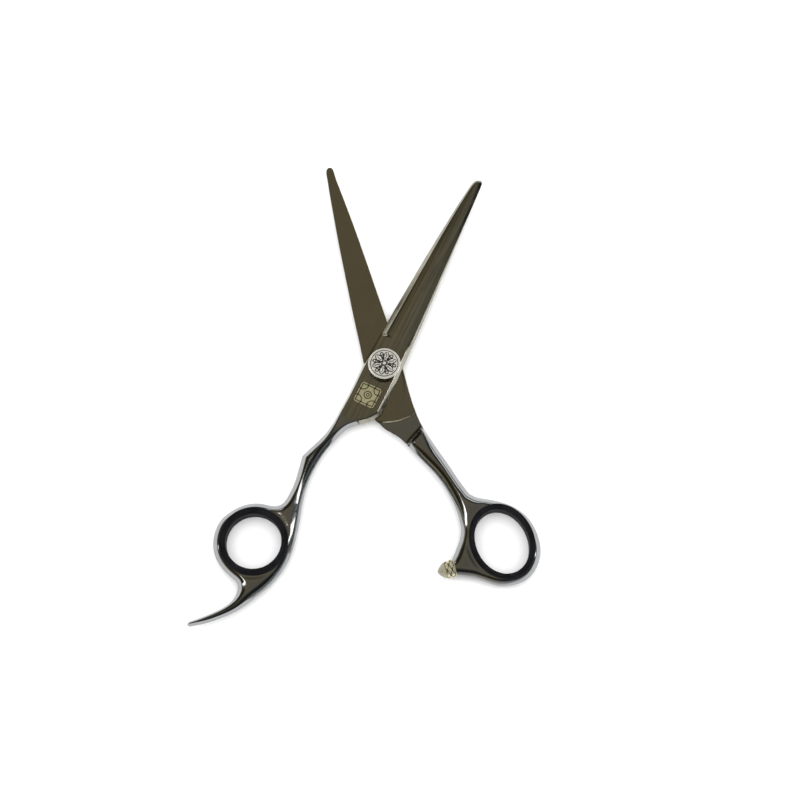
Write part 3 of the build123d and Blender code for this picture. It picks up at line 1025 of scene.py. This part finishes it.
@dataclass
class Badge:
    """The gilt plate let into the finger half, with a plain geometric engraving."""

    centre: Pair = (-0.5, -11.95)
    half_size: Pair = (3.68, 3.78)
    corner: float = 0.9
    proud: float = 0.10
    depth: float = 0.09

    def engraving(self, x: Points, y: Points) -> Points:
        """Grooves where a formula of the place is zero: a border, two circles and four corner arcs.

        Args:
            x: the places across the plate.
            y: the places along it.

        Returns:
            The mask, 1 in the grooves.
        """
        radius = np.hypot(x, y)
        border = line_of(np.maximum(np.abs(x), np.abs(y)), 3.15, 0.20)
        circles = line_of(radius, 0.50, 0.18) + line_of(radius, 1.25, 0.20)
        arcs = line_of(np.hypot(np.abs(x) - 2.9, np.abs(y) - 2.9), 1.75, 0.20)
        return np.clip(border + circles + arcs * (radius > 1.7), 0, 1)

    def build(self) -> None:
        """A disc grid stretched to a rounded rectangle, engraved, with a wall down below the blade's face."""
        angle = np.linspace(0, 2 * math.pi, 360, endpoint=False)[None, :]
        share = np.linspace(0, 1, 96)[:, None]
        c, s = np.cos(angle), np.sin(angle)
        w, h = self.half_size
        reach = (np.abs(c / w) ** 9 + np.abs(s / h) ** 9) ** (-1 / 9)
        x, y = share * reach * c, share * reach * s
        mask = self.engraving(x, y)
        edge = 0.06 * step(share, 0.975, 1.0)
        top = FRONT_FACE + self.proud - self.depth * mask - edge
        floor = np.full((1, 360), FRONT_FACE - 0.2)
        plan_x, plan_y = (np.concatenate([p, p[-1:], 0 * p[-1:]]) + o for p, o in zip((x, y), self.centre))
        heights = np.concatenate([top, floor, floor])
        shade = np.concatenate([mask, np.zeros((2, 360))])
        sheet = Sheet(np.stack([plan_x, plan_y, heights], axis=2), wrap_columns=True, shade=shade)
        made = piece("badge_plate_skin", [sheet], Half.FINGER.place, 50)
        hand_over(made, "finger_half", "gilt_brass", GILT, "badge_plate")


@dataclass
class Bumper:
    """The bumper on the thumb ring: an ornamented collar and a bullet-shaped nose."""

    seat: float = 5.0
    height: float = -73.0
    joint: float = 1.6
    nose: float = -0.72
    radius: float = 3.0
    scales: int = 5
    depth: float = 0.20

    def around(self, section: Points, relief: Callable[[Points, Points], Points] | None = None) -> Sheet:
        """Turns a section of place along the bumper and radius about the bumper's axis.

        Args:
            section: points of x and radius.
            relief: gives how deep the surface is cut at a place and an angle, as a share.

        Returns:
            The sheet in the thumb half's frame.
        """
        angle = np.linspace(0, 2 * math.pi, 200, endpoint=False)[None, :]
        x = section[:, :1]
        cut = relief(x, angle) if relief else np.zeros((len(section), 200))
        radius = section[:, 1:] - self.depth * cut
        points = (np.broadcast_to(x, radius.shape), self.height + radius * np.cos(angle),
                  MID_PLANE + radius * np.sin(angle))
        return Sheet(np.stack(points, axis=-1), wrap_columns=True, shade=cut)

    def leaves(self, x: Points, angle: Points) -> Points:
        """Crossing waves leave a net of leaf-shaped scales: grooves where either wave is zero.

        Args:
            x: the places along the bumper.
            angle: the angles around it.

        Returns:
            The mask, 1 in the grooves.
        """
        wave = 2.0 * (x - self.joint)
        net = np.abs(np.sin(self.scales / 2 * angle + wave)) * np.abs(np.sin(self.scales / 2 * angle - wave))
        band = step(x, self.joint + 0.25, self.joint + 0.5) * (1 - step(x, self.seat - 0.5, self.seat - 0.25))
        rings = line_of(x, self.joint + 0.3, 0.09) + line_of(x, self.seat - 0.32, 0.09)
        return np.clip((1 - step(net, 0.04, 0.34)) * band + rings, 0, 1)

    def build(self) -> None:
        """Builds the collar and the nose."""
        places = np.linspace(self.seat, self.joint, 90)
        taper = self.radius - 0.05 - 0.30 * ((self.seat - places) / (self.seat - self.joint)) ** 2
        stud = 0.92
        collar = np.concatenate([[(self.seat, stud)], np.stack([places, taper], axis=1),
                                 [(self.joint, stud)]])
        sheet = self.around(collar, self.leaves)
        sheet.wrap_rows = True
        made = piece("bumper_collar_skin", [sheet], Half.THUMB.place, 60)
        hand_over(made, "thumb_half", "gilt_brass", GILT_RELIEF, "bumper_collar")
        t = np.linspace(0, 1, 60)
        out = np.sin(t * math.pi / 2)
        nose_x = self.joint - 0.01 - (self.joint - self.nose) * out
        nose = np.stack([nose_x, (self.radius - 0.38) * (1 - out) ** 0.62], axis=1)
        made = piece("bumper_pad_skin", [self.around(np.concatenate([[(self.joint - 0.01, 0.0)], nose]))],
                     Half.THUMB.place, 60)
        hand_over(made, "thumb_half", "bumper_polymer", PALE_PAD, "bumper_pad")


# ---- the set-up
class Soft(Enum):
    """The studio's lamps: place, size, power, and whether polished steel mirrors them."""

    CEILING = ((0.0, 0.05, 0.95), (1.5, 1.5), 6.5, False)
    LEFT = ((-0.62, -0.05, 0.55), (0.07, 0.7), 0.8, True)
    RIGHT = ((0.66, 0.05, 0.48), (0.08, 0.7), 0.87, True)
    BACK = ((0.10, 0.75, 0.34), (1.3, 0.12), 1.2, True)


@dataclass
class Studio:
    """A pale floor, soft lamps, a dark ceiling for the steel to mirror, and the camera."""

    eye: tuple[float, float, float] = (0.0218, -0.1716, 0.4852)
    aim: tuple[float, float, float] = (0.0064, -0.0110, 0.0030)
    lens: float = 67.5
    floor_size: float = 4.0
    plain_light: Colour = (1.05, 1.05, 1.05, 1)
    tones: tuple = ((0.0, (0.55, 0.55, 0.54)), (0.10, (0.40, 0.40, 0.39)), (0.26, (0.03, 0.03, 0.027)),
                    (0.66, (0.040, 0.040, 0.038)), (0.82, (0.18, 0.169, 0.138)),
                    (0.91, (0.25, 0.232, 0.186)), (1.0, (0.225, 0.21, 0.168)))
    tints: tuple = ((0.0, (1.15, 0.98, 0.62)), (0.38, (1.08, 1.0, 0.82)), (0.55, (1.0, 1.0, 1.0)),
                    (1.0, (0.55, 0.66, 0.66)))

    def floor(self) -> None:
        """A plain pale floor at the table's height."""
        corner = self.floor_size / 2
        mesh = bpy.data.meshes.new("floor")
        mesh.from_pydata([(-corner, -corner, 0), (corner, -corner, 0), (corner, corner, 0),
                          (-corner, corner, 0)], [], [(0, 1, 2, 3)])
        floor = bpy.data.objects.new("floor", mesh)
        bpy.context.scene.collection.objects.link(floor)
        graph = Graph(bpy.data.materials.new("floor_paper"))
        graph.dress(Base_Color=(0.93, 0.93, 0.93, 1), Roughness=0.9)
        graph.shader.inputs["Specular IOR Level"].default_value = 0.1
        mesh.materials.append(graph.made)

    def lamps(self) -> None:
        """Area lamps that all look at the pivot."""
        for lamp in Soft:
            place, size, power, mirrored = lamp.value
            light = bpy.data.lights.new(lamp.name.lower(), "AREA")
            light.shape, light.size, light.size_y, light.energy = "RECTANGLE", *size, power
            made = bpy.data.objects.new(lamp.name.lower(), light)
            made.location = place
            made.rotation_euler = (-Vector(place)).to_track_quat("-Z", "Y").to_euler()
            made.visible_glossy = mirrored
            bpy.context.scene.collection.objects.link(made)

    def sky(self) -> None:
        """A plain pale light for the camera and for matt surfaces, and surroundings that the steel mirrors.

        By height they are an olive ceiling, a dark band below it and a bright horizon. Across them runs
        a tint, from gold at the left to grey-green at the right.
        """
        graph = Graph(bpy.data.worlds.new("studio"))
        bpy.context.scene.world = graph.made
        way = graph.value("ShaderNodeTexCoord", output="Generated")
        parts = graph.node("ShaderNodeSeparateXYZ", None, {0: way})
        tones = graph.value("ShaderNodeValToRGB", {"stops": self.tones}, {"Fac": parts.outputs["Z"]})
        across = graph.spread(parts.outputs["X"], -1.0, 1.0)
        tints = graph.value("ShaderNodeValToRGB", {"stops": self.tints}, {"Fac": across})
        tinted = graph.value("ShaderNodeVectorMath", {"operation": "MULTIPLY"}, {0: tones, 1: tints})
        mirrored = graph.tree.nodes["Background"]
        graph.feed(mirrored.inputs["Color"], tinted)
        plain = graph.value("ShaderNodeBackground", None, {"Color": self.plain_light})
        path = graph.node("ShaderNodeLightPath")
        plainly = graph.value("ShaderNodeMath", {"operation": "MAXIMUM"},
                              {0: path.outputs["Is Camera Ray"], 1: path.outputs["Is Diffuse Ray"]})
        mix = graph.value("ShaderNodeMixShader", None, {0: plainly, 1: mirrored.outputs[0], 2: plain})
        graph.feed(graph.tree.nodes["World Output"].inputs["Surface"], mix)

    def camera(self) -> None:
        """The camera, high above the shears and a little towards the handles' end."""
        data = bpy.data.cameras.new("camera")
        data.lens = self.lens
        data.clip_start = 0.01
        made = bpy.data.objects.new("camera", data)
        made.location = self.eye
        made.rotation_euler = (Vector(self.aim) - Vector(self.eye)).to_track_quat("-Z", "Y").to_euler()
        bpy.context.scene.collection.objects.link(made)
        bpy.context.scene.camera = made

    def build(self) -> None:
        """Sets up the whole studio."""
        self.floor()
        self.lamps()
        self.sky()
        self.camera()
        bpy.context.scene.view_settings.view_transform = "Standard"


# ---- the object
def front_blade() -> Blade:
    """The finger half's blade, with its bevelled, mirror-polished outer face upwards.

    Returns:
        The blade, not built yet.
    """
    edge = [(-6.87, -22), (-6.7, -12), (-6.9, 0), (-6.5, 10), (-6.1, 20), (-5.55, 30), (-5.0, 40),
            (-4.35, 50), (-3.6, 60), (-2.75, 70), (-2.2, 75), (-1.7, 77.2), (-1.1, 78.1), (-0.5, 78.4),
            (0, 78.45)]
    spine = [(6.2, -16.2), (6.2, -10), (5.9, 0), (5.4, 10), (4.9, 20), (4.3, 30), (3.65, 40), (3.05, 50),
             (2.4, 60), (1.8, 70), (1.5, 75), (1.3, 77.3), (1.0, 78.1), (0.5, 78.4), (0, 78.45)]
    heel = [(6.2, -16.2), (5.3, -17.6), (3.4, -20.1), (1.25, -22)]
    return Blade(Half.FINGER, "finger_blade_skin", BLADE_FRONT, edge, spine, heel, FRONT_INNER, 1, edge[-1])


def rear_blade() -> RearBlade:
    """The thumb half's blade, drawn mirrored, with its flat inner face upwards.

    Returns:
        The blade, not built yet.
    """
    edge = [(-6.4, -18.7), (-6.05, -14), (-6.0, -2.5), (-5.45, 10), (-4.85, 20), (-4.25, 30), (-3.65, 40),
            (-3.0, 50), (-2.2, 60), (-1.3, 70), (-0.95, 75), (-0.8, 77.6), (-0.45, 78.35), (0.25, 78.6)]
    spine = [(7.6, -17.2), (7.0, -8), (6.35, 5), (6.1, 10), (5.7, 20), (5.15, 30), (4.6, 40), (4.0, 50),
             (3.25, 60), (2.45, 70), (2.0, 75), (1.7, 77.3), (1.3, 78.1), (0.8, 78.5), (0.25, 78.6)]
    heel = [(7.6, -17.2), (6.6, -18.7)]
    return RearBlade(Half.THUMB, "thumb_blade_skin", BLADE_REAR, edge, spine, heel, REAR_INNER, -1, edge[-1])


def finger_handle() -> Handle:
    """The finger half's handle, whose arm is the curved tang.

    Returns:
        The handle, not built yet.
    """
    tip = (-19.45, -106.75)
    return Handle(
        half=Half.FINGER, name="finger_handle_skin", finish=HANDLE_FRONT,
        near_shank=[[(1.25, -22), (-1.65, -25), (-3.6, -30), (-4.9, -35), (-5.45, -40), (-5.5, -45),
                    (-4.9, -50), (-3.55, -55.5)]],
        far_shank=[[(-6.87, -22), (-7.1, -26), (-7.9, -30.5), (-9.6, -35.5), (-11.2, -40)], [(-11.2, -40),
                   (-10.25, -44.5), (-9.3, -50), (-9.25, -55.5)]],
        near_ring=[(-3.4, -89.3), (-1.2, -84.6), (0.15, -80), (0.75, -75), (0.35, -70), (-0.7, -65),
                   (-2.1, -60), (-3.55, -55.5)],
        far_ring=[(-9.25, -55.5), (-9.9, -57.9), (-11.6, -59.4), (-15.5, -60.5), (-19.6, -62.4),
                  (-23.2, -66.2), (-25.5, -71), (-25.3, -76.5), (-22.6, -81.9), (-17.8, -85.5),
                  (-13.3, -87.0), (-10.9, -88.0), (-9.9, -89.6)],
        near_arm=[(-3.4, -89.3), (-6.4, -95), (-10.3, -100), (-14.9, -104.4), (-17.5, -106.4),
                  (-18.8, -107.05), tip],
        far_arm=[(-9.9, -89.6), (-9.6, -91.6), (-10.4, -95), (-13.0, -98.9), (-16.2, -102.5),
                 (-18.6, -104.9), (-19.4, -105.9), tip],
        centre=FINGER_RING, seat=(10.4, 10.4), lean=0.0,
        cove=((-3.0, -28.6), (-7.7, -25.3)), relief=-0.03, upper_cut=False)


def thumb_handle() -> Handle:
    """The thumb half's handle, whose arm is the boss that carries the bumper.

    Returns:
        The handle, not built yet.
    """
    return Handle(
        half=Half.THUMB, name="thumb_handle_skin", finish=HANDLE_REAR,
        near_shank=[[(6.4, -18.7), (6.7, -21), (7.65, -25), (9.2, -30), (10.9, -35), (12.65, -40),
                    (14.25, -45), (16.2, -50)]],
        far_shank=[[(-6.6, -18.7), (-5.6, -20.4), (-3.8, -22.3), (-1.5, -25), (1.3, -30), (4.0, -35),
                   (6.7, -40), (8.7, -45), (10.0, -50)]],
        near_ring=[(7.2, -76.75), (9.3, -77.6), (12.5, -79.4), (17.3, -82.3), (22.5, -83.3), (27.3, -82.4),
                   (31.3, -79.2), (33.8, -74.5), (34.3, -69), (33.1, -63.5), (29.9, -58.7), (25.2, -55.2),
                   (20.6, -53.0), (17.9, -51.6), (16.2, -50)],
        far_ring=[(10.0, -50), (10.65, -54), (10.75, -58), (10.2, -62), (8.7, -65), (7.2, -67.1)],
        near_arm=[(7.2, -76.75), (6.2, -76.4), (5.0, -76.05)],
        far_arm=[(7.2, -67.1), (6.2, -68.5), (5.0, -69.85)],
        centre=THUMB_RING, seat=(9.9, 12.2), lean=THUMB_RING_LEAN,
        cove=((3.0, -28.6), (7.7, -25.3)), relief=-0.15, upper_cut=True, weld_radius=WELD_RADIUS)


def dress_inner_works() -> None:
    """Gives the small CAD parts around the pivot and the bumper their finishes."""
    steel = ("pivot_bolt", "friction_washer", "wave_spring", "click_plate", "click_balls", "click_springs",
             "bumper_stud")
    finishes = dict.fromkeys(steel, SMALL_STEEL) | dict.fromkeys(("pivot_bush", "thrust_washer"), NYLON)
    for node, finish in finishes.items():
        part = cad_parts[node]
        part.data.materials.clear()
        part.data.materials.append(finish.material())
        LOG.info("%s dressed", node)


def main() -> None:
    """Builds the shears and the studio."""
    logging.basicConfig(level=logging.INFO, format="%(name)s %(message)s")
    Studio().build()
    for part in (front_blade(), rear_blade(), finger_handle(), thumb_handle()):
        part.build()
    Insert(Half.FINGER, "finger_ring_insert_skin", FINGER_RING, (9.15, 9.15)).build()
    Insert(Half.THUMB, "thumb_ring_insert_skin", THUMB_RING, (8.65, 10.95), THUMB_RING_LEAN,
           flange=2.0).build()
    for part in (Dial(), Badge(), Bumper()):
        part.build()
    dress_inner_works()


if __name__ == "__main__":
    main()
